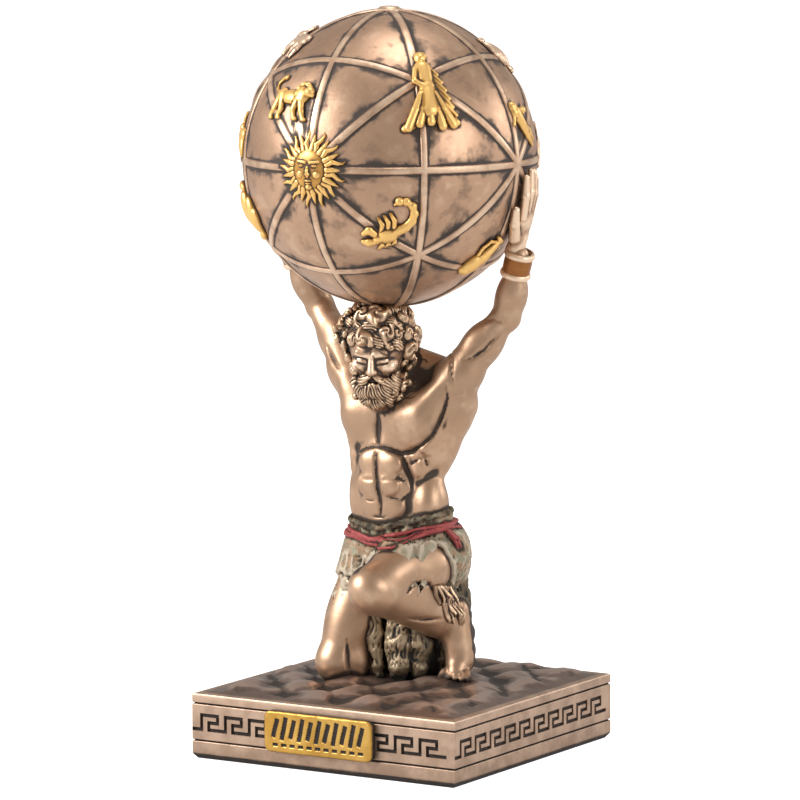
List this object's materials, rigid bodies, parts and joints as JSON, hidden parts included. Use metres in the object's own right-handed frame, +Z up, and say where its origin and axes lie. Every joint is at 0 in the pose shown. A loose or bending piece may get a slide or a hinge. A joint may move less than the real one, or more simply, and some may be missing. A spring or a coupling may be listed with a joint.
{
  "type": "kneeling statue carrying a globe",
  "caption": "Small cast statue of a kneeling bearded man who carries a ribbed globe with zodiac reliefs, on a square plinth with a key pattern.",
  "frame": {"origin": "middle of the plinth's flat underside", "axes": "+Z up, +X to the right of the front view, -Y towards the front with the plate"},
  "size_m": [0.038, 0.0389, 0.0904],
  "materials": {
    "figure_bronze": "antique bronze paint over cast resin, satin, dark wash in the hollows",
    "globe_bronze": "mauve bronze paint over cast resin, satin, dark wash along the ribs",
    "plinth_bronze": "bronze paint over cast resin, dark wash in the key and on the rock",
    "plate_gold": "hand-painted gold",
    "relief_gold": "hand-painted gold on the raised zodiac figures",
    "cloth_paint": "sage paint brushed over cast folds",
    "sash_red": "red paint on the cast sash",
    "cuff_gold": "orange gold paint on the wrist bands"
  },
  "bodies": {
    "root": {"figure": "figure_bronze", "globe": "globe_bronze", "plinth": "plinth_bronze", "name_plate": "plate_gold"}
  },
  "joints": []
}
